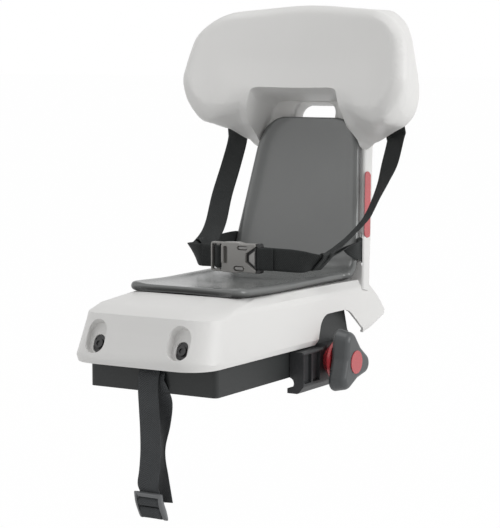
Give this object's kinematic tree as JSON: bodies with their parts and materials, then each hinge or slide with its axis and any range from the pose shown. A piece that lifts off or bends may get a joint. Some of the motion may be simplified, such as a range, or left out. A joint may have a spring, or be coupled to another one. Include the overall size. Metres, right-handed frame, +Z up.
{
  "type": "rear child bicycle seat",
  "caption": "Rear child bicycle seat: moulded shell with winged headrest, soft pad, harness with side-release buckle, folded steel frame, knob-driven rack clamp and safety strap.",
  "frame": {"origin": "on the underside of the steel frame, midway between the rack tubes and straight below the clamp bolt", "axes": "+Z up, +Y towards the rear of the bicycle, +X across it with the clamp knob on +X"},
  "size_m": [0.283, 0.4154, 0.53],
  "materials": {
    "shell_plastic": "satin moulded",
    "pad_foam": "satin soft skin",
    "red_plastic": "gloss",
    "frame_steel": "satin powder coat",
    "jaw_plastic": "matte glass-filled",
    "knob_plastic": "soft satin",
    "zinc_steel": "zinc plated",
    "black_steel": "black oxide",
    "webbing": "woven",
    "strap_webbing": "woven",
    "buckle_plastic": "satin",
    "lock_plastic": "satin"
  },
  "bodies": {
    "seat": {"seat_shell": "shell_plastic", "seat_pad": "pad_foam", "side_marker": "red_plastic", "base_frame": "frame_steel", "frame_screws": "zinc_steel", "front_washers": "black_steel", "front_bolts": "black_steel", "front_nuts": "zinc_steel", "fixed_jaw": "jaw_plastic", "fixed_jaw_screws": "black_steel", "clamp_bolt": "zinc_steel", "buckle_socket": "buckle_plastic", "buckle_plug": "buckle_plastic", "lap_belt_right": "webbing", "lap_belt_left": "webbing", "belt_pins": "zinc_steel", "shoulder_pins": "zinc_steel", "shoulder_strap_right": "webbing", "shoulder_strap_left": "webbing", "strap_bar": "zinc_steel", "safety_strap": "strap_webbing", "strap_lock": "lock_plastic"},
    "jaw": {"moving_jaw": "jaw_plastic", "thrust_flange": "red_plastic"},
    "knob": {"clamp_knob": "knob_plastic", "knob_nut": "zinc_steel", "knob_cap": "red_plastic"}
  },
  "joints": [
    {"name": "jaw_slide", "type": "slide", "parent": "seat", "child": "jaw", "axis": [1, 0, 0], "range_m": [0, 0.008]},
    {"name": "knob_turn", "type": "hinge", "parent": "jaw", "child": "knob", "pos_m": [0.12, 0, 0.0135], "axis": [1, 0, 0], "range_deg": [0, 2304]}
  ],
  "couplings": [
    {"joint": "jaw_slide", "follows": "knob_turn", "m_per_rad": 0.00019894}
  ]
}
